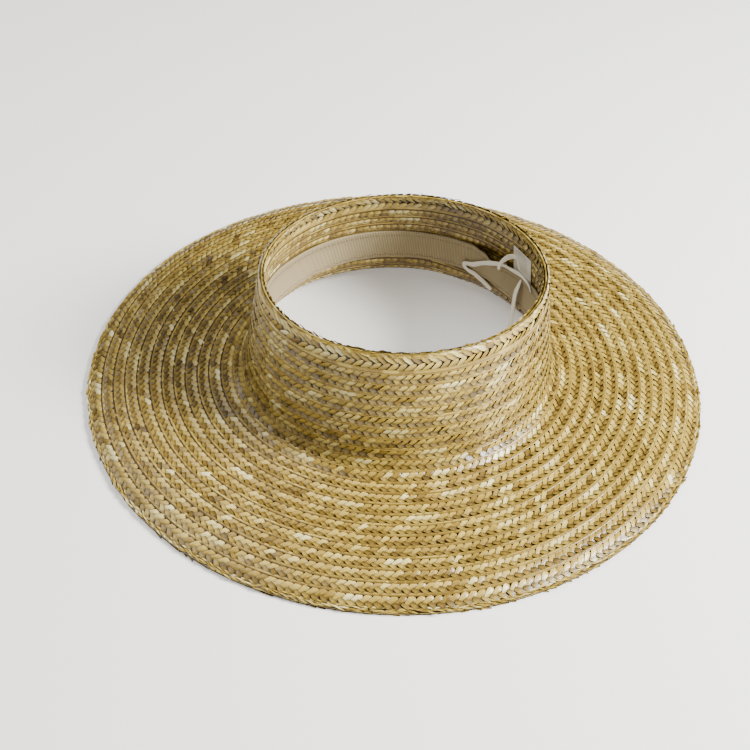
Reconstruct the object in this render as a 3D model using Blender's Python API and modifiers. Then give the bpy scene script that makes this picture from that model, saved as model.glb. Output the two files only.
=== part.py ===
"""Open-crown straw sun hat.

An oval crown wall that is open at the top and a wide, nearly flat brim, both sewn from rows of
straw plait that lap like shingles. A ribbed sweatband stands inside the crown, a small tag is
sewn to its back, and a thin drawstring ribbon comes out of a slit beside the tag.

Metres, +Z up. The front of the hat faces -Y and its back faces +Y. The origin lies on the
surface that the hat rests on, below the middle of the brim.
"""
import math

import bmesh
import bpy
from mathutils import Vector

# Straw crown
RIM_LENGTH = 0.1847         # outside of the top rim, front to back
RIM_WIDTH = 0.1566          # outside of the top rim, side to side
CROWN_HEIGHT = 0.0925       # top rim above the surface the hat rests on
CROWN_LEAN = 0.0204         # how far the wall runs outwards between the rim and its foot
FOOT_RADIUS = 0.016         # hollow curve where the wall turns into the brim

# Straw brim
BRIM_REACH = 0.1197         # from the rim's outline to the brim's edge, seen from above
BRIM_LIFT = 0.0052          # rise of the brim from its drooping edge to its flat middle
EDGE_THICKNESS = 0.0019     # doubled straw at the very edge
EDGE_SEAT = 0.0030          # width of the flat ring under the edge

# Plait
PLAIT_PITCH = 0.0080        # visible width of one lapped row
TOP_ROW = 0.0130            # full row at the crown's rim
EDGE_ROW = 0.0106           # outermost row with its doubled edge
WALL = 0.0016               # straw under the face of the rows
ROW_STEP = 0.0007           # how far a row's free edge stands over the next row
ROW_TUCK = 0.0002           # height of a row where it comes out from under its neighbour
STEADY_WAY = 0.0900         # way from the edge over which every row keeps its width
SEAM_LAP = 0.0050           # tongue of the brim under the crown's lowest row
SKIN = 0.0006               # depth of the crown's lowest row over that tongue
SEAM_GAP = 0.0003           # clearance between pieces that touch

# Sweatband
BAND_TOP = 0.0560           # height of the band's free upper edge
BAND_FOOT = 0.0265          # height of its sewn lower edge
BAND_THICKNESS = 0.0010
BAND_SEAT = 0.0004          # gap to the straw where the band lies against it
BAND_TOP_STAND = 0.0080     # most that the drawn-in upper edge stands off the straw
BAND_FOOT_STAND = 0.0052    # most that the lower edge stands off

# Tag
LABEL_WIDTH = 0.0195
LABEL_HEIGHT = 0.0250
LABEL_THICKNESS = 0.0005
LABEL_TUCK = 0.0045         # part of the tag behind the band
LABEL_ANGLE = -19.0         # degrees from the back, towards -X
LABEL_GAP = 0.0006

# Drawstring ribbon
RIBBON_WIDTH = 0.0042
RIBBON_THICKNESS = 0.0006

# Resolution
STATIONS = 56               # sections around the hat
PROFILE_STEPS = 24          # points on the foot's curve and on each stretch of the profile
RIBBON_STEPS = 2            # points between two rows of a ribbon's route

# Rise of the brim: share of the way from the edge to the foot, share of BRIM_LIFT
BRIM_RISE = (
    (0.00, 0.00),
    (0.10, 0.56),
    (0.20, 0.88),
    (0.32, 1.02),
    (0.50, 1.00),
    (0.70, 0.88),
    (0.86, 0.90),
    (1.00, 1.06),
)

# Lean of the crown's wall round the hat: degrees from the back, share of CROWN_LEAN
LEAN_SHAPE = (
    (0.0, 0.72),
    (25.0, 0.68),
    (50.0, 0.82),
    (75.0, 1.00),
    (115.0, 1.00),
    (140.0, 0.84),
    (165.0, 0.66),
    (180.0, 0.62),
)

# Stand-off of the band: degrees from the back, share at its top, share at its foot
BAND_SHAPE = (
    (0.0, 0.00, 0.85),
    (6.0, 0.08, 0.85),
    (12.0, 0.22, 0.82),
    (18.0, 0.32, 0.76),
    (24.0, 0.48, 0.70),
    (32.0, 0.90, 0.56),
    (36.0, 1.00, 0.38),
    (43.0, 0.46, 0.10),
    (50.0, 0.06, 0.00),
    (60.0, 0.00, 0.00),
    (88.0, 0.00, 0.00),
    (98.0, 0.00, 0.18),
    (111.0, 0.06, 0.46),
    (119.0, 0.30, 0.70),
    (128.0, 0.56, 0.88),
    (140.0, 0.78, 0.95),
    (154.0, 0.68, 0.97),
    (165.0, 0.40, 0.94),
    (180.0, 0.30, 0.90),
)

# Routes of the ribbon's strands in metres, chosen by hand: x, y, z, degrees that the ribbon's
# face turns from facing inwards to lying flat, and its share of the full width
LOOP_ROUTE = (
    (-0.0120, 0.0926, 0.0525, 0.0, 0.50),
    (-0.0146, 0.0905, 0.0578, 5.0, 0.60),
    (-0.0219, 0.0869, 0.0598, 10.0, 0.80),
    (-0.0290, 0.0824, 0.0590, 20.0, 0.95),
    (-0.0349, 0.0772, 0.0592, 25.0, 1.00),
    (-0.0404, 0.0722, 0.0563, 20.0, 0.95),
    (-0.0475, 0.0695, 0.0510, 5.0, 0.80),
    (-0.0549, 0.0685, 0.0447, 0.0, 0.80),
    (-0.0630, 0.0648, 0.0372, 5.0, 0.95),
    (-0.0673, 0.0608, 0.0350, 15.0, 0.90),
    (-0.0688, 0.0607, 0.0312, 20.0, 0.80),
    (-0.0673, 0.0636, 0.0282, 10.0, 0.90),
    (-0.0647, 0.0671, 0.0272, 0.0, 0.95),
    (-0.0617, 0.0712, 0.0245, 0.0, 1.00),
    (-0.0583, 0.0752, 0.0218, 0.0, 1.00),
    (-0.0545, 0.0788, 0.0190, 0.0, 0.95),
)
BOW_ROUTE = (
    (-0.0328, 0.0742, 0.0570, 20.0, 0.60),
    (-0.0334, 0.0752, 0.0612, 25.0, 0.60),
    (-0.0334, 0.0778, 0.0650, 30.0, 0.75),
    (-0.0312, 0.0804, 0.0690, 30.0, 0.95),
    (-0.0275, 0.0828, 0.0718, 25.0, 1.00),
    (-0.0240, 0.0838, 0.0706, 20.0, 0.95),
    (-0.0218, 0.0850, 0.0668, 10.0, 0.80),
    (-0.0215, 0.0868, 0.0628, 5.0, 0.40),
)
TAIL_ROUTE = (
    (-0.0226, 0.0882, 0.0545, 0.0, 0.40),
    (-0.0231, 0.0874, 0.0490, 0.0, 0.70),
    (-0.0246, 0.0867, 0.0410, 0.0, 0.95),
    (-0.0266, 0.0874, 0.0280, 0.0, 1.00),
    (-0.0274, 0.0882, 0.0170, 0.0, 1.00),
    (-0.0276, 0.0884, 0.0090, 5.0, 1.00),
    (-0.0268, 0.0874, 0.0036, 40.0, 1.00),
    (-0.0235, 0.0852, 0.0012, 80.0, 1.00),
    (-0.0170, 0.0832, 0.0009, 90.0, 1.00),
    (-0.0095, 0.0822, 0.0009, 90.0, 1.00),
    (-0.0020, 0.0832, 0.0009, 90.0, 0.95),
)

STRAW = (0.62, 0.47, 0.24, 1.0)
CREAM = (0.72, 0.62, 0.45, 1.0)
OFF_WHITE = (0.80, 0.77, 0.70, 1.0)
RIBBON_CREAM = (0.83, 0.78, 0.65, 1.0)


def clear_scene():
    for old in list(bpy.data.objects):
        bpy.data.objects.remove(old, do_unlink=True)


def make_material(name, colour, roughness):
    material = bpy.data.materials.new(name)
    material.use_nodes = True
    shader = material.node_tree.nodes["Principled BSDF"]
    shader.inputs["Base Color"].default_value = colour
    shader.inputs["Roughness"].default_value = roughness
    shader.inputs["Metallic"].default_value = 0.0
    return material


def table_value(table, x, column):
    """Value of a table's column at x, eased between its rows."""
    if x <= table[0][0]:
        return table[0][column]
    for low, high in zip(table, table[1:]):
        if x <= high[0]:
            share = (x - low[0]) / (high[0] - low[0])
            eased = share * share * (3.0 - 2.0 * share)
            return low[column] + (high[column] - low[column]) * eased
    return table[-1][column]


class Profile:
    """Face of the straw from the brim's edge up to the crown's rim, for one lean of the wall.

    A point is given by its way along the face and its height over it. The result is its
    reach, which is the distance outside the rim's outline, and its height in the hat. Ways
    are those of the side's profile. Any other profile has the same way up to STEADY_WAY and
    stretches the rest to match.
    """

    def __init__(self, lean, side=None):
        self.lean = lean
        self.points = self.brim_points() + self.foot_points() + [Vector((0.0, CROWN_HEIGHT))]
        self.way = [0.0]
        for a, b in zip(self.points, self.points[1:]):
            self.way.append(self.way[-1] + (b - a).length)
        if side:
            shrink = (side.length - STEADY_WAY) / (self.way[-1] - STEADY_WAY)
            self.way = [min(way, STEADY_WAY + (way - STEADY_WAY) * shrink)
                        if shrink < 1.0 else max(way, STEADY_WAY + (way - STEADY_WAY) * shrink)
                        for way in self.way]
        self.length = self.way[-1]

    def wall_direction(self):
        """Direction up the crown's wall as its angle over the horizontal."""
        rise = CROWN_HEIGHT - EDGE_THICKNESS - BRIM_LIFT
        return math.atan2(rise, self.lean)

    def foot_centre(self):
        """Middle of the hollow curve, which touches the wall's line and the brim's level."""
        angle = self.wall_direction()
        level = EDGE_THICKNESS + BRIM_LIFT * BRIM_RISE[-1][1] + FOOT_RADIUS
        on_wall = (CROWN_HEIGHT - level) / math.tan(angle)
        return Vector((on_wall + FOOT_RADIUS / math.sin(angle), level))

    def brim_points(self):
        foot = self.foot_centre().x
        points = []
        for step in range(2 * PROFILE_STEPS):
            share = step / (2 * PROFILE_STEPS)
            height = EDGE_THICKNESS + BRIM_LIFT * table_value(BRIM_RISE, share, 1)
            points.append(Vector((BRIM_REACH + (foot - BRIM_REACH) * share, height)))
        return points

    def foot_points(self):
        centre = self.foot_centre()
        angle = self.wall_direction()
        points = []
        for step in range(PROFILE_STEPS + 1):
            turn = angle * step / PROFILE_STEPS
            across = -math.sin(turn) * FOOT_RADIUS
            down = -math.cos(turn) * FOOT_RADIUS
            points.append(centre + Vector((across, down)))
        return points

    def at(self, way, over=0.0):
        index = 0
        while index < len(self.way) - 2 and self.way[index + 1] < way:
            index += 1
        start = self.points[index]
        along = (self.points[index + 1] - start).normalized()
        outward = Vector((along.y, -along.x))
        share = (way - self.way[index]) / (self.way[index + 1] - self.way[index])
        return start.lerp(self.points[index + 1], share) + outward * over

    def foot_way(self):
        """Way along the face at the middle of the hollow curve."""
        return self.way[2 * PROFILE_STEPS + PROFILE_STEPS // 2]


def side_profile():
    """Profile at the hat's side, where the wall leans most."""
    return Profile(CROWN_LEAN)


def profile_at(turn):
    """Profile at a turn from the back."""
    lean = CROWN_LEAN * table_value(LEAN_SHAPE, from_back(turn), 1)
    return Profile(lean, side_profile())


def row_edges(profile):
    """Ways along the face where one row laps over the next, and the one at the seam."""
    inner = profile.length - EDGE_ROW - TOP_ROW
    count = max(2, round(inner / PLAIT_PITCH))
    pitch = inner / count
    edges = [0.0]
    edges += [EDGE_ROW + pitch * index for index in range(count + 1)]
    edges.append(profile.length)
    seam = min(range(2, count), key=lambda index: abs(edges[index] - profile.foot_way()))
    return edges, seam


def rim_point(turn, reach):
    """Point of the oval that lies reach outside the rim's outline, turn from the back."""
    half_width, half_length = RIM_WIDTH / 2, RIM_LENGTH / 2
    point = Vector((half_width * math.sin(turn), half_length * math.cos(turn)))
    normal = Vector((math.sin(turn) / half_width, math.cos(turn) / half_length)).normalized()
    return point + normal * reach


def station_turns():
    return [2.0 * math.pi * index / STATIONS for index in range(STATIONS)]


def sweep_ring(name, section_at, material, collection):
    """Closed ring lofted through one closed section at each station around the hat."""
    shape = bmesh.new()
    rings = []
    for turn in station_turns():
        ring = []
        for reach, height in section_at(turn):
            spot = rim_point(turn, reach)
            ring.append(shape.verts.new((spot.x, spot.y, height)))
        rings.append(ring)
    for here, there in zip(rings, rings[1:] + rings[:1]):
        for index in range(len(here)):
            after = (index + 1) % len(here)
            shape.faces.new((here[index], here[after], there[after], there[index]))
    return finish_mesh(name, shape, material, collection)


def finish_mesh(name, shape, material, collection):
    bmesh.ops.recalc_face_normals(shape, faces=shape.faces)
    mesh = bpy.data.meshes.new(name)
    shape.to_mesh(mesh)
    shape.free()
    piece = bpy.data.objects.new(name, mesh)
    piece.data.materials.append(material)
    collection.objects.link(piece)
    mesh.shade_smooth()
    mesh.set_sharp_from_angle(angle=math.radians(30))
    return piece


def row_face(profile, edges, first, last):
    """Lapped face of rows first to last: each free edge stands over the row below it."""
    points = []
    for index in range(first, last):
        points.append(profile.at(edges[index], ROW_STEP))
        points.append(profile.at(edges[index + 1], ROW_TUCK))
    return points


def make_crown(material, collection):
    edges, seam = row_edges(side_profile())
    last = len(edges) - 1
    lap = edges[seam] + SEAM_LAP

    def section_at(turn):
        profile = profile_at(turn)
        section = row_face(profile, edges, seam, last)
        for index in range(last, seam, -1):
            section.append(profile.at(edges[index], -WALL))
        section.append(profile.at(lap, -WALL))
        section.append(profile.at(lap, -SKIN))
        section.append(profile.at(edges[seam], -SKIN))
        return section

    return sweep_ring("crown", section_at, material, collection)


def make_brim(material, collection):
    edges, seam = row_edges(side_profile())
    shoulder = edges[seam] - SEAM_GAP
    tongue = edges[seam] + SEAM_LAP - SEAM_GAP

    def section_at(turn):
        profile = profile_at(turn)
        section = row_face(profile, edges, 0, seam)
        section[0] = Vector((BRIM_REACH, EDGE_THICKNESS))
        section[-1] = profile.at(shoulder, ROW_TUCK)
        section.append(profile.at(shoulder, -SKIN - SEAM_GAP))
        section.append(profile.at(tongue, -SKIN - SEAM_GAP))
        section.append(profile.at(tongue, -WALL))
        for index in range(seam, 0, -1):
            section.append(profile.at(edges[index], -WALL))
        section.append(Vector((BRIM_REACH - EDGE_SEAT, 0.0)))
        section.append(Vector((BRIM_REACH, 0.0)))
        return section

    return sweep_ring("brim", section_at, material, collection)


def wall_reach(profile, height):
    """Reach of the crown's inner face at a height."""
    low, high = profile.foot_way(), profile.length
    for _ in range(40):
        middle = (low + high) / 2
        if profile.at(middle, -WALL).y < height:
            low = middle
        else:
            high = middle
    return profile.at((low + high) / 2, -WALL).x


def from_back(turn):
    """Degrees between a station and the back of the hat, the same on both sides."""
    degrees = math.degrees(turn) % 360.0
    return min(degrees, 360.0 - degrees)


def band_reach(profile, turn, share):
    """Reach of the band's outer face, share of the way from its foot to its top."""
    height = BAND_FOOT + (BAND_TOP - BAND_FOOT) * share
    angle = from_back(turn)
    top = BAND_TOP_STAND * table_value(BAND_SHAPE, angle, 1)
    foot = BAND_FOOT_STAND * table_value(BAND_SHAPE, angle, 2)
    return wall_reach(profile, height) - BAND_SEAT - foot - (top - foot) * share


def make_sweatband(material, collection):
    def section_at(turn):
        profile = profile_at(turn)
        shares = (0.0, 0.5, 1.0)
        outer = []
        for share in shares:
            height = BAND_FOOT + (BAND_TOP - BAND_FOOT) * share
            outer.append(Vector((band_reach(profile, turn, share), height)))
        inner = [point - Vector((BAND_THICKNESS, 0.0)) for point in reversed(outer)]
        return outer + inner

    return sweep_ring("sweatband", section_at, material, collection)


def make_label(material, collection):
    """Small folded tag that leans on the wall, its lower end tucked behind the band."""
    profile = profile_at(math.radians(LABEL_ANGLE))
    lean = math.pi / 2 - profile.wall_direction()
    height = BAND_TOP - LABEL_TUCK + LABEL_HEIGHT / 2 * math.cos(lean)
    reach = wall_reach(profile, height) - LABEL_GAP - LABEL_THICKNESS / 2
    turn = math.radians(LABEL_ANGLE)
    spread = LABEL_WIDTH / (RIM_LENGTH + RIM_WIDTH) * 2
    ends = [rim_point(turn + side * spread, reach) for side in (-1.0, 1.0)]
    ahead = ends[1] - ends[0]
    spot = (ends[0] + ends[1]) / 2
    shape = bmesh.new()
    bmesh.ops.create_cube(shape, size=1.0)
    bmesh.ops.scale(shape, vec=(LABEL_WIDTH, LABEL_THICKNESS, LABEL_HEIGHT), verts=shape.verts)
    piece = finish_mesh("label", shape, material, collection)
    piece.location = (spot.x, spot.y, height)
    piece.rotation_euler = (lean, 0.0, math.atan2(ahead.y, ahead.x))
    return piece


def smooth_route(route, steps):
    """Rows of a route and the rows eased between them, on one smooth curve."""
    rows = []
    for index in range(len(route) - 1):
        before = route[max(index - 1, 0)]
        here, there = route[index], route[index + 1]
        after = route[min(index + 2, len(route) - 1)]
        for step in range(steps):
            t = step / steps
            row = []
            for a, b, c, d in zip(before, here, there, after):
                bend = 2 * a - 5 * b + 4 * c - d
                turn = 3 * (b - c) + d - a
                row.append(b + 0.5 * t * (c - a + t * (bend + t * turn)))
            rows.append(row)
    rows.append(list(route[-1]))
    return rows


def make_ribbon(name, route, material, collection):
    """Flat strand of ribbon along a route, as a strip with its thickness from Solidify."""
    rows = smooth_route(route, RIBBON_STEPS)
    shape = bmesh.new()
    pairs = []
    for index, row in enumerate(rows):
        spot = Vector(row[:3])
        behind = Vector(rows[max(index - 1, 0)][:3])
        ahead = Vector(rows[min(index + 1, len(rows) - 1)][:3])
        along = (ahead - behind).normalized()
        outward = Vector((spot.x, spot.y, 0.0)).normalized()
        flat = math.radians(row[3])
        facing = outward * math.cos(flat) + Vector((0.0, 0.0, 1.0)) * math.sin(flat)
        across = along.cross(facing).normalized() * RIBBON_WIDTH * row[4] / 2
        pairs.append((shape.verts.new(spot - across), shape.verts.new(spot + across)))
    for here, there in zip(pairs, pairs[1:]):
        shape.faces.new((here[0], here[1], there[1], there[0]))
    piece = finish_mesh(name, shape, material, collection)
    solid = piece.modifiers.new("thickness", 'SOLIDIFY')
    solid.thickness = RIBBON_THICKNESS
    solid.offset = 0.0
    return piece


def main():
    clear_scene()
    collection = bpy.data.collections.new("open_crown_straw_hat")
    bpy.context.scene.collection.children.link(collection)
    straw = make_material("straw", STRAW, 0.55)
    make_crown(straw, collection)
    make_brim(straw, collection)
    make_sweatband(make_material("sweatband", CREAM, 0.8), collection)
    make_label(make_material("label", OFF_WHITE, 0.7), collection)
    ribbon = make_material("ribbon", RIBBON_CREAM, 0.4)
    make_ribbon("drawstring_loop", LOOP_ROUTE, ribbon, collection)
    make_ribbon("drawstring_bow", BOW_ROUTE, ribbon, collection)
    make_ribbon("drawstring_tail", TAIL_ROUTE, ribbon, collection)


if __name__ == "__main__":
    main()
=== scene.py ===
"""Open-crown straw sun hat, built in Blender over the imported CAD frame.

Every row of plait is made of single straw leaves in two slanted columns with a long straw
along its free edge. Metres, +Z up, front at -Y, back at +Y.
"""
import math

import bpy
import numpy as np
from mathutils import Matrix, Vector


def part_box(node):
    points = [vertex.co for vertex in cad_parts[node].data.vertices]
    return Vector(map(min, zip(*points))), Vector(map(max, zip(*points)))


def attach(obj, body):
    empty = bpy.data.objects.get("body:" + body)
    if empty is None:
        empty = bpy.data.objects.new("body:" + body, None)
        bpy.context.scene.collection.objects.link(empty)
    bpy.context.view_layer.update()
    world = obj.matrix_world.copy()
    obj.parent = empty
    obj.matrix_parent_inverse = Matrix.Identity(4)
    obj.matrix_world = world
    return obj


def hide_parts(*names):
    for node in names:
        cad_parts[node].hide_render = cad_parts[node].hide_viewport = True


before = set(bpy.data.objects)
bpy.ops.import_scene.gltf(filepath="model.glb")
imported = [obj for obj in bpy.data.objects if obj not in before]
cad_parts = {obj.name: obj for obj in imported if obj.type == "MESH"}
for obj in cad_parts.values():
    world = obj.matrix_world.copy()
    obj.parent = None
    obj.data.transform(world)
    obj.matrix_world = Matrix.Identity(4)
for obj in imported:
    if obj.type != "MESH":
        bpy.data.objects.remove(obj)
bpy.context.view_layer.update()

bl_info = {
    "name": "Open-crown straw sun hat",
    "version": (1, 0, 0),
    "blender": (4, 5, 0),
    "location": "View3D > Sidebar > Straw hat",
    "description": "Builds a wide-brimmed straw hat leaf by leaf, with its band, tag and ribbon",
    "category": "Object",
}

# Frame of the hat, as in the CAD
RIM_LENGTH = 0.1847
RIM_WIDTH = 0.1566
CROWN_HEIGHT = 0.0925
CROWN_LEAN = 0.0204
FOOT_RADIUS = 0.016
BRIM_REACH = 0.1197
BRIM_LIFT = 0.0052
EDGE_THICKNESS = 0.0019
PLAIT_PITCH = 0.0080
TOP_ROW = 0.0130
EDGE_ROW = 0.0106
WALL = 0.0016
STEADY_WAY = 0.0900
BAND_TOP = 0.0560
BAND_FOOT = 0.0265
BAND_TOP_STAND = 0.0080
BAND_FOOT_STAND = 0.0052
BAND_SEAT = 0.0004
BAND_THICKNESS = 0.0010
LABEL_WIDTH = 0.0195
LABEL_HEIGHT = 0.0250
LABEL_ANGLE = -19.0
LABEL_THICKNESS = 0.0005
LABEL_GAP = 0.0006
RIBBON_WIDTH = 0.0042

# Looks that the CAD doesn't hold
RIBBON_CLOTH = 0.0004       # thickness of the ribbon's cloth
ROW_SHADOW_LINE = 0.0008           # width of the painted shadow line between two rows
EDGE_STRAW = 0.00070        # radius of the straw that closes an edge
LOWEST = 0.00005            # nothing of the hat reaches below this height

# Steps on the brim, the hollow curve and the wall of the face's side view
BRIM_STEPS = 96
FOOT_STEPS = 32
WALL_STEPS = 40

# Lights: name, place, power, size
LIGHTS = (
    ("key", (0.46, 1.18, 0.95), 92.0, 0.60),
    ("top", (-0.25, -0.55, 1.30), 13.0, 1.0),
)
LIGHT_COLOUR = (1.0, 0.98, 0.92)

# Rise of the brim: share of the way from the edge to the foot, share of BRIM_LIFT
BRIM_RISE = (
    (0.00, 0.00),
    (0.10, 0.56),
    (0.20, 0.88),
    (0.32, 1.02),
    (0.50, 1.00),
    (0.70, 0.88),
    (0.86, 0.90),
    (1.00, 1.06),
)

# Lean of the crown's wall round the hat: degrees from the back, share of CROWN_LEAN
LEAN_SHAPE = (
    (0.0, 0.72),
    (25.0, 0.68),
    (50.0, 0.82),
    (75.0, 1.00),
    (115.0, 1.00),
    (140.0, 0.84),
    (165.0, 0.66),
    (180.0, 0.62),
)

# Stand-off of the band: degrees from the back, share at its top, share at its foot. From 98
# degrees on its top lies on the wall, as in the picture, where the solid's stands further in
BAND_SHAPE = (
    (0.0, 0.00, 0.85),
    (6.0, 0.08, 0.85),
    (12.0, 0.22, 0.82),
    (18.0, 0.32, 0.76),
    (24.0, 0.48, 0.70),
    (32.0, 0.90, 0.56),
    (36.0, 1.00, 0.38),
    (43.0, 0.46, 0.10),
    (50.0, 0.06, 0.00),
    (60.0, 0.00, 0.00),
    (88.0, 0.00, 0.00),
    (98.0, 0.00, 0.18),
    (111.0, 0.02, 0.46),
    (119.0, 0.07, 0.70),
    (128.0, 0.05, 0.88),
    (140.0, 0.00, 0.95),
    (154.0, 0.00, 0.97),
    (165.0, 0.00, 0.94),
    (180.0, 0.00, 0.90),
)

# Routes of the ribbon: x, y, z, degrees its face turns from facing inwards to lying flat,
# and its share of the full width
LOOP_ROUTE = (
    (-0.0120, 0.0926, 0.0525, 0.0, 0.50),
    (-0.0146, 0.0905, 0.0578, 5.0, 0.60),
    (-0.0219, 0.0869, 0.0598, 10.0, 0.80),
    (-0.0290, 0.0824, 0.0590, 20.0, 0.95),
    (-0.0349, 0.0772, 0.0592, 25.0, 1.00),
    (-0.0404, 0.0722, 0.0563, 20.0, 0.95),
    (-0.0475, 0.0695, 0.0510, 5.0, 0.80),
    (-0.0549, 0.0685, 0.0447, 0.0, 0.80),
    (-0.0630, 0.0648, 0.0372, 5.0, 0.95),
    (-0.0673, 0.0608, 0.0350, 15.0, 0.90),
    (-0.0688, 0.0607, 0.0312, 20.0, 0.80),
    (-0.0673, 0.0636, 0.0282, 10.0, 0.90),
    (-0.0647, 0.0671, 0.0272, 0.0, 0.95),
    (-0.0617, 0.0712, 0.0245, 0.0, 1.00),
    (-0.0583, 0.0752, 0.0218, 0.0, 1.00),
    (-0.0545, 0.0788, 0.0190, 0.0, 0.95),
)
BOW_ROUTE = (
    (-0.0328, 0.0742, 0.0570, 20.0, 0.60),
    (-0.0334, 0.0752, 0.0612, 25.0, 0.60),
    (-0.0334, 0.0778, 0.0650, 30.0, 0.75),
    (-0.0312, 0.0804, 0.0690, 30.0, 0.95),
    (-0.0275, 0.0828, 0.0718, 25.0, 1.00),
    (-0.0240, 0.0838, 0.0706, 20.0, 0.95),
    (-0.0218, 0.0850, 0.0668, 10.0, 0.80),
    (-0.0215, 0.0868, 0.0628, 5.0, 0.40),
)
TAIL_ROUTE = (
    (-0.0226, 0.0882, 0.0545, 0.0, 0.40),
    (-0.0231, 0.0874, 0.0490, 0.0, 0.70),
    (-0.0246, 0.0867, 0.0410, 0.0, 0.95),
    (-0.0266, 0.0874, 0.0280, 0.0, 1.00),
    (-0.0274, 0.0882, 0.0170, 0.0, 1.00),
    (-0.0276, 0.0884, 0.0090, 5.0, 1.00),
    (-0.0268, 0.0874, 0.0036, 40.0, 1.00),
    (-0.0235, 0.0852, 0.0012, 80.0, 1.00),
    (-0.0170, 0.0832, 0.0009, 90.0, 1.00),
    (-0.0095, 0.0822, 0.0009, 90.0, 1.00),
    (-0.0020, 0.0832, 0.0009, 90.0, 0.95),
)

# Outline of a leaf of the upper column: share of length, of half its width, of its height
FAT_LEAF = (
    (0.00, 0.10, 0.30),
    (0.22, 0.66, 0.62),
    (0.62, 1.00, 0.92),
    (0.88, 0.80, 1.00),
    (1.00, 0.25, 0.45),
)
# The same for a leaf of the lower column
THIN_LEAF = (
    (0.00, 0.55, 0.00),
    (0.50, 1.00, 1.00),
    (1.00, 0.70, 0.60),
)

# Camera that took the picture, in the hat's frame
CAMERA_AT = (0.5124, -0.1204, 0.5363)
CAMERA_TO = (0.0329, -0.0221, 0.0307)
CAMERA_ROLL = 3.432
CAMERA_LENS = 51.3


def table_value(table, x, column):
    """Value of a table's column at x, eased between its rows."""
    if x <= table[0][0]:
        return table[0][column]
    for low, high in zip(table, table[1:]):
        if x <= high[0]:
            share = (x - low[0]) / (high[0] - low[0])
            eased = share * share * (3.0 - 2.0 * share)
            return low[column] + (high[column] - low[column]) * eased
    return table[-1][column]


def side_points(lean):
    """Reach and height from the brim's edge to the rim, for one lean of the wall."""
    angle = math.atan2(CROWN_HEIGHT - EDGE_THICKNESS - BRIM_LIFT, lean)
    level = EDGE_THICKNESS + BRIM_LIFT * BRIM_RISE[-1][1] + FOOT_RADIUS
    middle = (CROWN_HEIGHT - level) / math.tan(angle) + FOOT_RADIUS / math.sin(angle)
    points = []
    for share in np.linspace(0.0, 1.0, BRIM_STEPS + 1)[:-1]:
        height = EDGE_THICKNESS + BRIM_LIFT * table_value(BRIM_RISE, share, 1)
        points.append((BRIM_REACH + (middle - BRIM_REACH) * share, height))
    for turn in np.linspace(0.0, angle, FOOT_STEPS + 1):
        across = middle - math.sin(turn) * FOOT_RADIUS
        points.append((across, level - math.cos(turn) * FOOT_RADIUS))
    foot = np.array(points[-1])
    for share in np.linspace(0.0, 1.0, WALL_STEPS + 1)[1:]:
        points.append(tuple(foot + (np.array((0.0, CROWN_HEIGHT)) - foot) * share))
    return np.array(points)


def way_along(points):
    steps = np.diff(points, axis=0)
    return np.concatenate(([0.0], np.cumsum(np.hypot(steps[:, 0], steps[:, 1]))))


class Face:
    """Face of the straw from the brim's edge to the rim, as turn, way along and height over.

    Ways are those of the hat's side. Elsewhere the rows beyond STEADY_WAY stretch to match.
    """

    def __init__(self):
        side = way_along(side_points(CROWN_LEAN))
        self.length = side[-1]
        self.foot_way = side[BRIM_STEPS + FOOT_STEPS // 2]
        self.ways = np.linspace(0.0, self.length, 512)
        self.turns = 96
        table = []
        for index in range(self.turns):
            degrees = 360.0 * index / self.turns
            angle = min(degrees, 360.0 - degrees)
            points = side_points(CROWN_LEAN * table_value(LEAN_SHAPE, angle, 1))
            way = way_along(points)
            shrink = (self.length - STEADY_WAY) / (way[-1] - STEADY_WAY)
            way = np.where(way > STEADY_WAY, STEADY_WAY + (way - STEADY_WAY) * shrink, way)
            reach, height = [np.interp(self.ways, way, points[:, axis]) for axis in (0, 1)]
            slope = np.gradient(np.stack((reach, height), axis=1), self.ways, axis=0)
            size = np.hypot(slope[:, 0], slope[:, 1])
            table.append(np.stack((reach, height, slope[:, 1] / size, -slope[:, 0] / size)))
        self.table = np.array(table).transpose(0, 2, 1)

    def at(self, turn, way, over):
        """Reach and height of points at these turns, ways and heights over the face."""
        turn, way, over = np.broadcast_arrays(turn, way, over)
        place = np.mod(turn / (2.0 * math.pi), 1.0) * self.turns
        first = np.floor(place).astype(int) % self.turns
        share = (place - np.floor(place))[..., None]
        spot = np.clip(way / self.length, 0.0, 1.0) * (len(self.ways) - 1)
        low = np.minimum(np.floor(spot).astype(int), len(self.ways) - 2)
        part = (spot - low)[..., None]
        mixed = 0.0
        for index, weight in ((first, 1.0 - share), ((first + 1) % self.turns, share)):
            row = self.table[index, low] * (1.0 - part) + self.table[index, low + 1] * part
            mixed = mixed + row * weight
        beyond = way - np.clip(way, 0.0, self.length)
        reach = mixed[..., 0] + over * mixed[..., 2] - beyond * mixed[..., 3]
        return reach, mixed[..., 1] + over * mixed[..., 3] + beyond * mixed[..., 2]

    def wall_reach(self, turn, height):
        """Reach of the crown's inner face at a turn and a height."""
        ways = np.linspace(self.foot_way, self.length, 200)
        reach, level = self.at(turn, ways, -WALL)
        return float(np.interp(height, level, reach))


FACE = Face()


def rim_points(turn, reach):
    """x and y of points reach outside the rim's outline; turn runs from the back to +X."""
    half_width, half_length = RIM_WIDTH / 2, RIM_LENGTH / 2
    sine, cosine = np.sin(turn), np.cos(turn)
    across, along = sine / half_width, cosine / half_length
    size = np.hypot(across, along)
    return half_width * sine + reach * across / size, half_length * cosine + reach * along / size


def hat_points(turn, way, over):
    """Points of the hat as rows of x, y, z."""
    reach, height = FACE.at(turn, way, over)
    x, y = rim_points(turn, reach)
    return np.stack((x, y, np.maximum(height, LOWEST)), axis=-1)


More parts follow.
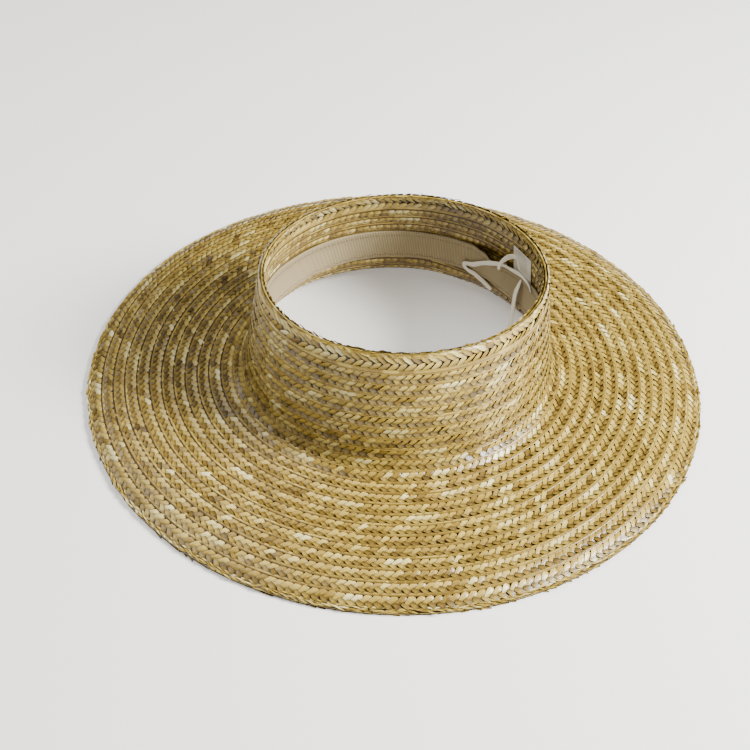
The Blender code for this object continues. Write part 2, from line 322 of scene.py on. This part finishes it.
def even_turns(reach, count, start=0.0):
    """Turns of count points spaced evenly by length round the oval at a reach."""
    fine = np.linspace(0.0, 2.0 * math.pi, 721)
    x, y = rim_points(fine, reach)
    length = np.concatenate(([0.0], np.cumsum(np.hypot(np.diff(x), np.diff(y)))))
    wanted = (np.arange(count) + start) / count * length[-1]
    return np.interp(wanted, length, fine), length[-1] / count


def row_edges():
    """Ways along the face where one row laps over the next, and which one is the seam."""
    inner = FACE.length - EDGE_ROW - TOP_ROW
    count = round(inner / PLAIT_PITCH)
    pitch = inner / count
    edges = [0.0] + [EDGE_ROW + pitch * index for index in range(count + 1)] + [FACE.length]
    seam = min(range(2, count), key=lambda index: abs(edges[index] - FACE.foot_way))
    return edges, seam


def new_piece(name, points, faces, material, collection, paint=None, uv=None, smooth=True):
    """Mesh object from arrays; paint is a colour per point and uv a pair per point."""
    mesh = bpy.data.meshes.new(name)
    faces = np.asarray(faces, dtype=np.int32)
    mesh.vertices.add(len(points))
    mesh.vertices.foreach_set("co", np.asarray(points, dtype=np.float32).ravel())
    corners = faces.shape[1]
    mesh.loops.add(faces.size)
    mesh.loops.foreach_set("vertex_index", faces.ravel())
    mesh.polygons.add(len(faces))
    mesh.polygons.foreach_set("loop_start", np.arange(len(faces), dtype=np.int32) * corners)
    mesh.update(calc_edges=True)
    if paint is not None:
        layer = mesh.color_attributes.new("straw", 'FLOAT_COLOR', 'POINT')
        layer.data.foreach_set("color", np.asarray(paint, dtype=np.float32).ravel())
    if uv is not None:
        layer = mesh.uv_layers.new(name="UVMap")
        layer.data.foreach_set("uv", np.asarray(uv, dtype=np.float32)[faces.ravel()].ravel())
    if smooth:
        mesh.shade_smooth()
    piece = bpy.data.objects.new(name, mesh)
    piece.data.materials.append(material)
    collection.objects.link(piece)
    return piece


def grid_faces(rows, columns, closed=False):
    """Corner numbers of the quads of a grid; closed joins the last row to the first."""
    numbers = np.arange(rows * columns).reshape(rows, columns)
    after = np.roll(numbers, -1, axis=0) if closed else numbers[1:]
    before = numbers if closed else numbers[:-1]
    quads = (before[:, :-1], before[:, 1:], after[:, 1:], after[:, :-1])
    return np.stack(quads, axis=-1).reshape(-1, 4)


def leaf_shape(outline, columns):
    """Grid of a leaf: across from -1 to 1, along from 0 to 1 and height from 0 to 1."""
    across = np.linspace(-1.0, 1.0, columns)
    rows = []
    for along, width, height in outline:
        crown = height * (1.0 - 0.22 * across ** 2) + 0.60 * across * height
        rows.append(np.stack((across * width, np.full(columns, along), crown), axis=-1))
    shape = np.array(rows)
    return shape.reshape(-1, 3), grid_faces(len(outline), columns)


class Straws:
    """Collects leaves and strips of one piece and turns them into one mesh."""

    def __init__(self, seed, side):
        self.random = np.random.default_rng(seed)
        self.side = side
        self.points, self.faces, self.paint, self.uv = [], [], [], []
        self.count = 0

    def height(self, turn, way, over):
        """Height over the outer face of something that stands proud of this piece's face.

        Inside the crown the relief is flattened where the band and the tag lie on the straw,
        and under the brim where its edge comes down to the surface that the hat rests on.
        """
        if self.side > 0:
            return over
        height = FACE.at(turn, way, 0.0)[1]
        kept = np.interp(height, (BAND_FOOT - 0.003, BAND_FOOT, BAND_TOP, BAND_TOP + 0.003),
                         (1.0, 0.20, 0.20, 0.90))
        kept = kept * np.clip((height - WALL - 0.0002) / 0.0018, 0.05, 1.0)
        apart = np.abs(np.mod(turn - math.radians(LABEL_ANGLE) + math.pi, 2 * math.pi) - math.pi)
        behind_tag = (apart < 0.15) & (height > BAND_FOOT) & (height < BAND_TOP + LABEL_HEIGHT)
        return -WALL - over * np.where(behind_tag, np.minimum(kept, 0.30), kept)

    def add(self, points, faces, paint, uv):
        self.points.append(points.reshape(-1, 3))
        self.faces.append(faces if self.side > 0 else faces[:, ::-1])
        self.paint.append(paint.reshape(-1, 4))
        self.uv.append(uv.reshape(-1, 2))
        self.faces[-1] = self.faces[-1] + self.count
        self.count += len(self.points[-1])

    def leaves(self, turn, way, tone, shape, faces, length, width, slant, lift, bulge, shade):
        """One leaf at each turn and way, slanted in degrees from straight up the face."""
        number = len(turn)
        jitter = self.random.normal(0.0, 1.0, (5, number))
        angle = np.radians(slant + 5.0 * jitter[0])
        size = 1.0 + 0.06 * jitter[1]
        across = shape[None, :, 0] * (width / 2 * (1.0 + 0.07 * jitter[2]))[:, None]
        along = (shape[None, :, 1] - 0.5) * (length * size)[:, None]
        side = along * np.sin(angle)[:, None] + across * np.cos(angle)[:, None]
        up = along * np.cos(angle)[:, None] - across * np.sin(angle)[:, None]
        over = lift + bulge * shape[None, :, 2] + 0.00006 * jitter[3][:, None]
        over = over + 0.00014 * jitter[4][:, None] * shape[None, :, 0]
        reach = FACE.at(turn, way, 0.0)[0]
        x0, y0 = rim_points(turn - 0.001, reach)
        x1, y1 = rim_points(turn + 0.001, reach)
        speed = np.hypot(x1 - x0, y1 - y0) / 0.002
        turns, ways = turn[:, None] + side / speed[:, None], way[:, None] + up
        points = hat_points(turns, ways, self.height(turns, ways, over))
        paint = np.ones((number, shape.shape[0], 4))
        paint[:, :, 0] = tone[:, None]
        # Green is painted shade: each leaf is darker where it lies low, at its edges and ends that
        # dip under its neighbours, scaled by shade per column
        paint[:, :, 1] = shade * (0.08 + 0.92 * np.clip(shape[None, :, 2], 0.0, 1.0))
        paint[:, :, 2] = self.random.random(number)[:, None]
        uv = np.stack(np.broadcast_arrays(shape[None, :, 0] * width * 500 + jitter[4][:, None] * 9,
                                          along * 1000), axis=-1)
        offsets = (np.arange(number) * shape.shape[0])[:, None, None]
        self.add(points, (faces[None] + offsets).reshape(-1, 4), paint, uv)

    def strip(self, turns, low, high, over_low, over_high, tone, shade):
        """Closed strip of straw round the hat between two ways, rounded across."""
        shares = np.linspace(0.0, 1.0, 5)
        ways = low[:, None] + (high - low)[:, None] * shares
        over = over_low + (over_high - over_low) * shares + 0.00025 * np.sin(shares * math.pi)
        points = hat_points(turns[:, None], ways, self.height(turns[:, None], ways, over))
        paint = np.ones((len(turns), 5, 4))
        paint[:, :, 0] = tone[:, None]
        # Painted shade: the strip is darker along its edges, most along its low edge
        paint[:, :, 1] = shade * np.array((0.25, 0.8, 1.0, 0.9, 0.5))
        paint[:, :, 2] = 0.5
        uv = np.stack(np.broadcast_arrays(shares * 3.0, np.arange(len(turns))[:, None] * 4.0),
                      axis=-1)
        self.add(points, grid_faces(len(turns), 5, closed=True), paint, uv)

    def backing(self, low, high, over_low, over_high):
        """Straw under the leaves of one row, painted near black as painted shade in the gaps
        between the leaves.
        """
        turns = np.linspace(0.0, 2.0 * math.pi, 181)[:-1]
        shares = np.linspace(0.0, 1.0, 4)
        ways = np.broadcast_to(low + (high - low) * shares, (180, 4))
        over = np.broadcast_to(over_low + (over_high - over_low) * shares, (180, 4))
        points = hat_points(turns[:, None], ways, self.height(turns[:, None], ways, over))
        # Near-black tone and painted shade: this sheet stands for the shade under the leaves
        paint = np.ones((180, 4, 4)) * np.array((0.05, 0.30, 0.5, 1.0))
        uv = np.stack(np.broadcast_arrays(shares * 4.0, np.arange(180)[:, None] * 6.0), axis=-1)
        self.add(points, grid_faces(180, 4, closed=True), paint, uv)

    def build(self, name, material, collection):
        points = np.concatenate(self.points)
        faces = np.concatenate(self.faces)
        return new_piece(name, points, faces, material, collection,
                         np.concatenate(self.paint), np.concatenate(self.uv))


def leaf_tones(random, number):
    """Tone of each leaf in a row: mostly gold, with runs of a few pale or dark ones."""
    tone = random.normal(0.50, 0.11, number)
    start = 0
    while start < number:
        start += int(random.integers(3, 14))
        run = int(random.integers(1, 4))
        pick = random.random()
        level = random.normal(0.80, 0.06) if pick < 0.70 else random.normal(0.40, 0.05)
        tone[start:start + run] = level + random.normal(0.0, 0.03, len(tone[start:start + run]))
        start += run
    return np.clip(tone, 0.05, 1.0)


def build_rows(straws, first, last, edges, settings):
    """Rows first to last of plait, each with its leaves, its edge straw and its backing."""
    random = straws.random
    fat, fat_faces = leaf_shape(FAT_LEAF, 5)
    thin, thin_faces = leaf_shape(THIN_LEAF, 3)
    turn_way = 1.0 if straws.side > 0 else -1.0
    for index in range(first, last):
        low, high = edges[index], edges[index + 1]
        width = high - low
        wide = index == len(edges) - 2
        middle = low + width * 0.5
        reach = float(FACE.at(1.5, middle, 0.0)[0])
        _, around = even_turns(reach, 1)
        count = int(around / settings.leaf_pitch)
        turns, pitch = even_turns(reach, count, random.random())
        wave = settings.wave * (np.sin(turns * 3.0 + random.random() * 6.0)
                                + 0.6 * np.sin(turns * 7.0 + random.random() * 6.0))
        tone = leaf_tones(random, count)
        step = settings.step
        lower = np.clip(tone * 0.60 + 0.04, 0.0, 1.0)
        if wide:
            straws.leaves(turns, low + width * 0.32 + wave, tone, fat, fat_faces, 0.0090,
                          pitch * 0.74, -50.0 * turn_way, step * 0.45, 0.0006, 0.95)
            straws.leaves(turns + 0.01, low + width * 0.74 + wave, leaf_tones(random, count),
                          fat, fat_faces, 0.0104, pitch * 0.72, 50.0 * turn_way,
                          step * 0.35, 0.0006, 1.0)
            for layer in range(2):
                strokes, gap = even_turns(reach, count, random.random())
                straws.leaves(strokes, high - 0.0004 - 0.0011 * layer
                              + random.normal(0.0, 0.0002, count), leaf_tones(random, count),
                              thin, thin_faces, gap * 1.40, 0.0015,
                              82.0 + random.normal(0.0, 7.0, count), step * 0.45, 0.0006, 0.95)
        elif index == 0:
            straws.leaves(turns, low + width * 0.70 + wave, tone, fat, fat_faces,
                          0.0092, pitch * 0.78, -54.0 * turn_way, step * 0.36, 0.0006, 1.0)
            straws.leaves(turns + pitch * 2.2, low + width * 0.44 + wave, lower, thin,
                          thin_faces, 0.0060, pitch * 0.66, 55.0 * turn_way,
                          step * 0.60, 0.0005, 0.85)
            for layer in range(3):
                strokes, gap = even_turns(reach + 0.008, count, random.random())
                straws.leaves(strokes, low + 0.0010 + 0.0011 * layer
                              + random.normal(0.0, 0.0003, count), leaf_tones(random, count),
                              thin, thin_faces, gap * 1.35, 0.0015,
                              84.0 + random.normal(0.0, 7.0, count), step * 0.35, 0.0006, 0.95)
        else:
            straws.leaves(turns, low + width * 0.63 + wave, tone, fat, fat_faces,
                          width * 1.08, pitch * 0.80, -54.0 * turn_way,
                          step * 0.36, 0.0006, 1.0)
            straws.leaves(turns + pitch * 2.6, low + width * 0.32 + wave, lower, thin,
                          thin_faces, width * 0.74, pitch * 0.66, 55.0 * turn_way,
                          step * 0.66, 0.0005, 0.85)
        bend, _ = even_turns(reach, 360)
        way = settings.wave * np.interp(bend, turns, wave / settings.wave, period=2 * math.pi)
        pale = np.repeat(random.choice((0.32, 0.40, 0.50, 0.64), 60, p=(0.3, 0.35, 0.2, 0.15)), 6)
        if index:
            straws.strip(bend, low + way, low + width * 0.22 + way, step * 0.85, step * 0.7,
                         pale, 0.9)
            # Painted shadow line under each row's free edge: darker towards the front, away from
            # the key light, lighter at the back, mid on the crown's outside and dark inside it
            shadow_tone = 0.30 + 0.26 * np.cos(bend)
            if low > FACE.foot_way:
                shadow_tone = np.full(len(bend), 0.40 if straws.side > 0 else 0.10)
            straws.strip(bend, low - ROW_SHADOW_LINE + way, low + 0.0002 + way, step * 0.92, step * 0.92,
                         shadow_tone, 0.9)
        top = high - 0.0004 if wide else high + 0.0012
        straws.backing(low + 0.0003, top, step * 0.45, -0.0001)


def colour_ramp(tree, stops):
    ramp = tree.nodes.new("ShaderNodeValToRGB")
    elements = ramp.color_ramp.elements
    elements[0].color = (*stops[0][1], 1.0)
    elements[-1].color = (*stops[-1][1], 1.0)
    for place, colour in stops[1:-1]:
        elements.new(place).color = (*colour, 1.0)
    return ramp


def blank_material(name):
    material = bpy.data.materials.new(name)
    material.use_nodes = True
    tree = material.node_tree
    return material, tree, tree.nodes["Principled BSDF"]


def straw_material():
    """Glossy straw whose tone comes from each leaf's own colour, with fine long stripes,
    multiplied by the painted shade held in each point's green.
    """
    material, tree, shader = blank_material("plaited_straw")
    # The straw attribute carries each leaf's tone in red and its painted shade in green
    paint = tree.nodes.new("ShaderNodeAttribute")
    paint.attribute_name = "straw"
    parts = tree.nodes.new("ShaderNodeSeparateColor")
    tree.links.new(paint.outputs["Color"], parts.inputs["Color"])
    uv = tree.nodes.new("ShaderNodeTexCoord")
    stretch = tree.nodes.new("ShaderNodeMapping")
    stretch.inputs["Scale"].default_value = (3.2, 0.22, 1.0)
    stripes = tree.nodes.new("ShaderNodeTexNoise")
    stripes.inputs["Scale"].default_value = 1.6
    stripes.inputs["Detail"].default_value = 3.0
    tree.links.new(uv.outputs["UV"], stretch.inputs["Vector"])
    tree.links.new(stretch.outputs["Vector"], stripes.inputs["Vector"])
    spread = tree.nodes.new("ShaderNodeMath")
    spread.operation = 'MULTIPLY_ADD'
    spread.inputs[1].default_value = 0.80
    spread.inputs[2].default_value = -0.40
    tree.links.new(stripes.outputs["Fac"], spread.inputs[0])
    tone = tree.nodes.new("ShaderNodeMath")
    tone.operation = 'ADD'
    tree.links.new(parts.outputs["Red"], tone.inputs[0])
    tree.links.new(spread.outputs["Value"], tone.inputs[1])
    ramp = colour_ramp(tree, (
        (0.00, (0.030, 0.015, 0.003)),
        (0.22, (0.160, 0.095, 0.014)),
        (0.48, (0.430, 0.290, 0.050)),
        (0.68, (0.600, 0.445, 0.105)),
        (0.88, (0.820, 0.700, 0.290)),
        (1.00, (0.950, 0.880, 0.560)),
    ))
    tree.links.new(tone.outputs["Value"], ramp.inputs["Fac"])
    # Painted shade: the colour is multiplied by the green of the straw attribute
    shade = tree.nodes.new("ShaderNodeMix")
    shade.data_type = 'RGBA'
    shade.blend_type = 'MULTIPLY'
    shade.inputs["Factor"].default_value = 1.0
    tree.links.new(ramp.outputs["Color"], shade.inputs["A"])
    tree.links.new(parts.outputs["Green"], shade.inputs["B"])
    tree.links.new(shade.outputs["Result"], shader.inputs["Base Color"])
    shader.inputs["Roughness"].default_value = 0.26
    bump = tree.nodes.new("ShaderNodeBump")
    bump.inputs["Strength"].default_value = 0.35
    bump.inputs["Distance"].default_value = 0.0002
    tree.links.new(stripes.outputs["Fac"], bump.inputs["Height"])
    tree.links.new(bump.outputs["Normal"], shader.inputs["Normal"])
    return material


def plain_material(name, colour, roughness, ribs=0.0, rib_scale=1.0):
    """Matt cloth; ribs is the strength of fine bars along UV's first direction, with painted shade
    in the grooves between them.
    """
    material, tree, shader = blank_material(name)
    shader.inputs["Base Color"].default_value = (*colour, 1.0)
    shader.inputs["Roughness"].default_value = roughness
    if ribs:
        uv = tree.nodes.new("ShaderNodeTexCoord")
        wave = tree.nodes.new("ShaderNodeTexWave")
        wave.bands_direction = 'X'
        wave.inputs["Scale"].default_value = rib_scale
        wave.inputs["Distortion"].default_value = 0.6
        wave.inputs["Detail"].default_value = 1.5
        tree.links.new(uv.outputs["UV"], wave.inputs["Vector"])
        # Painted shade: the grooves between the bars are darker, by up to 55 percent of ribs
        groove_shade = tuple(c * (1.0 - 0.55 * ribs) for c in colour)
        ramp = colour_ramp(tree, ((0.0, groove_shade), (1.0, colour)))
        tree.links.new(wave.outputs["Fac"], ramp.inputs["Fac"])
        tree.links.new(ramp.outputs["Color"], shader.inputs["Base Color"])
        bump = tree.nodes.new("ShaderNodeBump")
        bump.inputs["Strength"].default_value = ribs
        bump.inputs["Distance"].default_value = 0.0003
        tree.links.new(wave.outputs["Fac"], bump.inputs["Height"])
        tree.links.new(bump.outputs["Normal"], shader.inputs["Normal"])
    return material


def material_named(name, make):
    return bpy.data.materials.get(name) or make()


def hat_collection():
    found = bpy.data.collections.get("straw_hat")
    if found is None:
        found = bpy.data.collections.new("straw_hat")
        bpy.context.scene.collection.children.link(found)
    return found


def finish_piece(piece, slot, *nodes):
    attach(piece, "root")
    if nodes:
        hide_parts(*nodes)
    return piece


def band_reach(turn, share):
    """Reach of the band's outer face, share of the way from its foot to its top."""
    degrees = math.degrees(turn) % 360.0
    angle = min(degrees, 360.0 - degrees)
    top = BAND_TOP_STAND * table_value(BAND_SHAPE, angle, 1)
    foot = BAND_FOOT_STAND * table_value(BAND_SHAPE, angle, 2)
    height = BAND_FOOT + (BAND_TOP - BAND_FOOT) * share
    return FACE.wall_reach(turn, height) - BAND_SEAT - foot - (top - foot) * share


def band_point(turn, share, inset):
    """Point of the band at a share of its height, inset from its outer face."""
    x, y = rim_points(turn, band_reach(turn, share) - inset)
    return Vector((float(x), float(y), BAND_FOOT + (BAND_TOP - BAND_FOOT) * share))


def bars(middles, size):
    """Points and faces of small closed bars along a ring of points that runs with the turn."""
    corner = np.array([(a, b, c) for a in (-0.5, 0.5) for b in (-0.5, 0.5) for c in (-0.5, 0.5)])
    quads = np.array(((0, 1, 3, 2), (4, 6, 7, 5), (0, 4, 5, 1), (2, 3, 7, 6), (0, 2, 6, 4),
                      (1, 5, 7, 3)))
    points, faces = [], []
    for index, middle in enumerate(middles):
        along = (middles[(index + 1) % len(middles)] - middles[index - 1]).normalized()
        inward = along.cross(Vector((0.0, 0.0, 1.0))).normalized()
        up = inward.cross(along)
        points.extend(np.array(middle) + (corner * size) @ np.array((along, up, inward)))
        faces.extend(quads + 8 * index)
    return np.array(points), np.array(faces)


def smooth_route(route, steps):
    """Rows of a route and the rows eased between them, on one smooth curve."""
    rows = []
    for index in range(len(route) - 1):
        before = route[max(index - 1, 0)]
        here, there = route[index], route[index + 1]
        after = route[min(index + 2, len(route) - 1)]
        for step in range(steps):
            t = step / steps
            row = []
            for a, b, c, d in zip(before, here, there, after):
                bend = 2 * a - 5 * b + 4 * c - d
                turn = 3 * (b - c) + d - a
                row.append(b + 0.5 * t * (c - a + t * (bend + t * turn)))
            rows.append(row)
    rows.append(list(route[-1]))
    return rows


class StrawSettings(bpy.types.PropertyGroup):
    leaf_pitch: bpy.props.FloatProperty(name="Leaf pitch", default=0.0052, unit='LENGTH')
    wave: bpy.props.FloatProperty(name="Row wave", default=0.00022, unit='LENGTH')
    step: bpy.props.FloatProperty(name="Row step", default=0.0012, unit='LENGTH')
    seed: bpy.props.IntProperty(name="Seed", default=11)


class BandSettings(bpy.types.PropertyGroup):
    stations: bpy.props.IntProperty(name="Sections", default=240)
    stitch_pitch: bpy.props.FloatProperty(name="Stitch pitch", default=0.0016, unit='LENGTH')


class HAT_OT_brim(bpy.types.Operator):
    """Brim of lapped plait rows, its top and its underside"""
    bl_idname = "hat.brim"
    bl_label = "Build brim"

    def execute(self, context):
        settings = context.scene.hat_straw
        material = material_named("plaited_straw", straw_material)
        edges, seam = row_edges()
        for name, side in (("brim_top", 1), ("brim_underside", -1)):
            straws = Straws(settings.seed + side, side)
            build_rows(straws, 0, seam, edges, settings)
            nodes = ("brim",) if side > 0 else ()
            finish_piece(straws.build(name, material, hat_collection()), "straw", *nodes)
        return {'FINISHED'}


class HAT_OT_crown(bpy.types.Operator):
    """Crown wall of lapped plait rows, outside and inside"""
    bl_idname = "hat.crown"
    bl_label = "Build crown"

    def execute(self, context):
        settings = context.scene.hat_straw
        material = material_named("plaited_straw", straw_material)
        edges, seam = row_edges()
        for name, side in (("crown_outside", 1), ("crown_inside", -1)):
            straws = Straws(settings.seed + 5 + side, side)
            build_rows(straws, seam, len(edges) - 1, edges, settings)
            nodes = ("crown",) if side > 0 else ()
            finish_piece(straws.build(name, material, hat_collection()), "straw", *nodes)
        return {'FINISHED'}


class HAT_OT_edges(bpy.types.Operator):
    """Straw that closes the brim's edge and the crown's rim"""
    bl_idname = "hat.edges"
    bl_label = "Build edges"

    def execute(self, context):
        material = material_named("plaited_straw", straw_material)
        random = np.random.default_rng(5)
        for name, way, reach in (("brim_edge", 0.0, BRIM_REACH), ("rim_edge", FACE.length, 0.0)):
            count = int(even_turns(reach, 1)[1] / 0.0024)
            turns, _ = even_turns(reach, count)
            angles = np.linspace(0.0, 2.0 * math.pi, 9)[:-1]
            base_reach, base_height = FACE.at(0.0, way, -WALL / 2 + 0.0001)
            across = base_reach + EDGE_STRAW * np.cos(angles) - (0.0012 if way == 0.0 else 0.0)
            rise = base_height + EDGE_STRAW * np.sin(angles) + (0.0 if way == 0.0 else -0.0009)
            x, y = rim_points(turns[:, None], across[None, :])
            z = np.broadcast_to(rise, x.shape) + random.normal(0, 0.00008, count)[:, None]
            points = np.stack((x, y, np.maximum(z, 0.0001)), axis=-1).reshape(-1, 3)
            tone = np.repeat(random.choice((0.32, 0.42, 0.50, 0.62), count // 3 + 1), 3)[:count]
            paint = np.ones((count, 8, 4))
            paint[:, :, 0] = tone[:, None]
            paint[:, :, 1] = 0.9
            uv = np.stack(np.broadcast_arrays(np.arange(8) * 1.0, np.arange(count)[:, None] * 3.0),
                          axis=-1).reshape(-1, 2)
            numbers = np.arange(count * 8).reshape(count, 8)
            after = np.roll(numbers, -1, axis=0)
            quads = np.stack((numbers, np.roll(numbers, -1, axis=1),
                              np.roll(after, -1, axis=1), after), axis=-1).reshape(-1, 4)
            piece = new_piece(name, points, quads, material, hat_collection(),
                              paint.reshape(-1, 4), uv)
            finish_piece(piece, "straw")
        return {'FINISHED'}


class HAT_OT_band(bpy.types.Operator):
    """Ribbed sweatband with its stitches"""
    bl_idname = "hat.band"
    bl_label = "Build sweatband"

    def execute(self, context):
        settings = context.scene.hat_band
        collection = hat_collection()
        cloth = material_named("ribbed_cloth", lambda: plain_material(
            "ribbed_cloth", (0.46, 0.37, 0.21), 0.85, 0.9, 0.30))
        turns = math.pi / 2 + np.linspace(0.0, 2.0 * math.pi, settings.stations + 1)[:-1]
        shares = (0.0, 0.04, 0.3, 0.6, 0.86, 0.88, 0.97, 1.0)
        section = [(share, BAND_THICKNESS + (0.00025 if share > 0.87 else 0.0))
                   for share in shares]
        section += [(share, 0.0) for share in reversed(shares)]
        points = [band_point(turn, share, inset) for turn in turns for share, inset in section]
        size = len(section)
        numbers = np.arange(len(turns) * size).reshape(len(turns), size)
        after = np.roll(numbers, -1, axis=0)
        quads = np.stack((numbers, after, np.roll(after, -1, axis=1),
                          np.roll(numbers, -1, axis=1)), axis=-1).reshape(-1, 4)
        uv = [(turn * 85.0, share * 10.0) for turn in turns for share, inset in section]
        band = new_piece("sweatband_cloth", np.array(points), quads, cloth, collection, uv=uv)
        finish_piece(band, "band_cloth", "sweatband")
        thread = material_named("thread", lambda: plain_material(
            "thread", (0.14, 0.09, 0.05), 0.8))
        rows = (("band_top_stitches", 0.84, 0.0, (0.0005, 0.0011, 0.0002)),
                ("band_foot_stitches", 0.11, 0.018, (0.0015, 0.0004, 0.0002)))
        for name, share, wave, size in rows:
            count = int(even_turns(-0.004, 1)[1] / settings.stitch_pitch)
            turns, _ = even_turns(-0.004, count)
            middles = [band_point(turn, share + wave * math.sin(turn * 78.0), BAND_THICKNESS)
                       for turn in turns]
            piece = new_piece(name, *bars(middles, size), thread, collection, smooth=False)
            finish_piece(piece, "band_cloth")
        return {'FINISHED'}


class HAT_OT_label(bpy.types.Operator):
    """Bare tag that leans on the wall behind the band"""
    bl_idname = "hat.label"
    bl_label = "Build tag"

    def execute(self, context):
        cloth = material_named("tag_cloth", lambda: plain_material(
            "tag_cloth", (0.80, 0.77, 0.70), 0.8, 0.15, 2.0))
        low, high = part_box("label")
        height = (low[2] + high[2]) / 2
        turn = math.radians(LABEL_ANGLE)
        reach = FACE.wall_reach(turn, height) - LABEL_GAP - LABEL_THICKNESS / 2
        lean = math.atan2(FACE.wall_reach(turn, low[2]) - FACE.wall_reach(turn, high[2]),
                          high[2] - low[2])
        spread = LABEL_WIDTH / (RIM_LENGTH + RIM_WIDTH) * 2
        ends = [Vector((*map(float, rim_points(turn + side * spread, reach)), height))
                for side in (-1.0, 1.0)]
        ahead = ends[1] - ends[0]
        bpy.ops.mesh.primitive_cube_add(size=1.0)
        piece = bpy.context.object
        piece.name = "tag"
        place = Matrix.Translation((ends[0] + ends[1]) / 2)
        place = place @ Matrix.Rotation(math.atan2(ahead.y, ahead.x), 4, 'Z')
        place = place @ Matrix.Rotation(lean, 4, 'X')
        place = place @ Matrix.Diagonal((LABEL_WIDTH, LABEL_THICKNESS, LABEL_HEIGHT, 1.0))
        piece.data.transform(place)
        piece.data.materials.append(cloth)
        finish_piece(piece, "label_cloth", "label")
        return {'FINISHED'}


class HAT_OT_ribbon(bpy.types.Operator):
    """Strands of the thin drawstring ribbon"""
    bl_idname = "hat.ribbon"
    bl_label = "Build ribbon"

    def execute(self, context):
        satin = material_named("satin", lambda: plain_material(
            "satin", (0.84, 0.80, 0.70), 0.35))
        routes = (("ribbon_loop", "drawstring_loop", LOOP_ROUTE, "object"),
                  ("ribbon_bow", "drawstring_bow", BOW_ROUTE, "object"),
                  ("ribbon_tail", "drawstring_tail", TAIL_ROUTE, "bare"))
        for name, node, route, far_end in routes:
            rows = smooth_route(route, 8)
            points, uv = [], []
            for index, row in enumerate(rows):
                spot = Vector(row[:3])
                behind = Vector(rows[max(index - 1, 0)][:3])
                ahead = Vector(rows[min(index + 1, len(rows) - 1)][:3])
                along = (ahead - behind).normalized()
                outward = Vector((spot.x, spot.y, 0.0)).normalized()
                flat = math.radians(row[3])
                facing = outward * math.cos(flat) + Vector((0.0, 0.0, 1.0)) * math.sin(flat)
                across = along.cross(facing).normalized() * RIBBON_WIDTH * row[4] / 2
                for share in (-1.0, -0.5, 0.0, 0.5, 1.0):
                    points.append(spot + across * share)
                    uv.append((share * 4.0, index))
            piece = new_piece(name, np.array(points), grid_faces(len(rows), 5), satin,
                              hat_collection(), uv=uv)
            solid = piece.modifiers.new("thickness", 'SOLIDIFY')
            solid.thickness = RIBBON_CLOTH
            solid.offset = 0.0
            finish_piece(piece, "ribbon_cloth", node)
        return {'FINISHED'}


class HAT_OT_stage(bpy.types.Operator):
    """Floor, lights and the camera of the picture"""
    bl_idname = "hat.stage"
    bl_label = "Build stage"

    def execute(self, context):
        scene = context.scene
        bpy.ops.mesh.primitive_plane_add(size=30.0, location=(0.0, 0.0, -0.0002))
        floor = context.object
        floor.name = "floor"
        pale = plain_material("floor", (0.94, 0.94, 0.94), 0.9)
        shader = pale.node_tree.nodes["Principled BSDF"]
        shader.inputs["Emission Color"].default_value = (1.0, 1.0, 1.0, 1.0)
        shader.inputs["Emission Strength"].default_value = 0.30
        floor.data.materials.append(pale)
        world = bpy.data.worlds.new("studio")
        world.use_nodes = True
        world.node_tree.nodes["Background"].inputs["Color"].default_value = (1.0, 1.0, 1.0, 1.0)
        world.node_tree.nodes["Background"].inputs["Strength"].default_value = 0.20
        scene.world = world
        for name, place, power, size in LIGHTS:
            bpy.ops.object.light_add(type='AREA', location=place)
            light = context.object
            light.name = name
            light.data.energy = power
            light.data.size = size
            light.data.color = LIGHT_COLOUR
            aim = Vector((0.0, 0.0, 0.04)) - Vector(place)
            light.rotation_euler = aim.to_track_quat('-Z', 'Y').to_euler()
        bpy.ops.object.camera_add(location=CAMERA_AT)
        camera = context.object
        camera.name = "picture_camera"
        forward = (Vector(CAMERA_TO) - Vector(CAMERA_AT)).normalized()
        right = forward.cross(Vector((0.0, 0.0, 1.0))).normalized()
        up = right.cross(forward)
        roll = math.radians(CAMERA_ROLL)
        side = right * math.cos(roll) + up * math.sin(roll)
        head = up * math.cos(roll) - right * math.sin(roll)
        turn = Matrix((side, head, -forward)).transposed().to_4x4()
        camera.matrix_world = Matrix.Translation(CAMERA_AT) @ turn
        camera.data.lens = CAMERA_LENS
        camera.data.sensor_width = 36.0
        camera.data.clip_end = 20.0
        scene.camera = camera
        return {'FINISHED'}


class HAT_PT_panel(bpy.types.Panel):
    """Buttons that build the hat"""
    bl_label = "Straw hat"
    bl_idname = "HAT_PT_panel"
    bl_space_type = 'VIEW_3D'
    bl_region_type = 'UI'
    bl_category = "Straw hat"

    def draw(self, context):
        layout = self.layout
        straw = context.scene.hat_straw
        for name in ("leaf_pitch", "wave", "step", "seed"):
            layout.prop(straw, name)
        band = context.scene.hat_band
        layout.prop(band, "stations")
        layout.prop(band, "stitch_pitch")
        for operator in OPERATORS:
            layout.operator(operator.bl_idname)


OPERATORS = (HAT_OT_brim, HAT_OT_crown, HAT_OT_edges, HAT_OT_band, HAT_OT_label,
             HAT_OT_ribbon, HAT_OT_stage)
CLASSES = (StrawSettings, BandSettings) + OPERATORS + (HAT_PT_panel,)


def register():
    for each in CLASSES:
        bpy.utils.register_class(each)
    bpy.types.Scene.hat_straw = bpy.props.PointerProperty(type=StrawSettings)
    bpy.types.Scene.hat_band = bpy.props.PointerProperty(type=BandSettings)


def unregister():
    del bpy.types.Scene.hat_straw
    del bpy.types.Scene.hat_band
    for each in reversed(CLASSES):
        bpy.utils.unregister_class(each)


def main():
    register()
    bpy.ops.hat.brim()
    bpy.ops.hat.crown()
    bpy.ops.hat.edges()
    bpy.ops.hat.band()
    bpy.ops.hat.label()
    bpy.ops.hat.ribbon()
    bpy.ops.hat.stage()


if __name__ == "__main__":
    main()
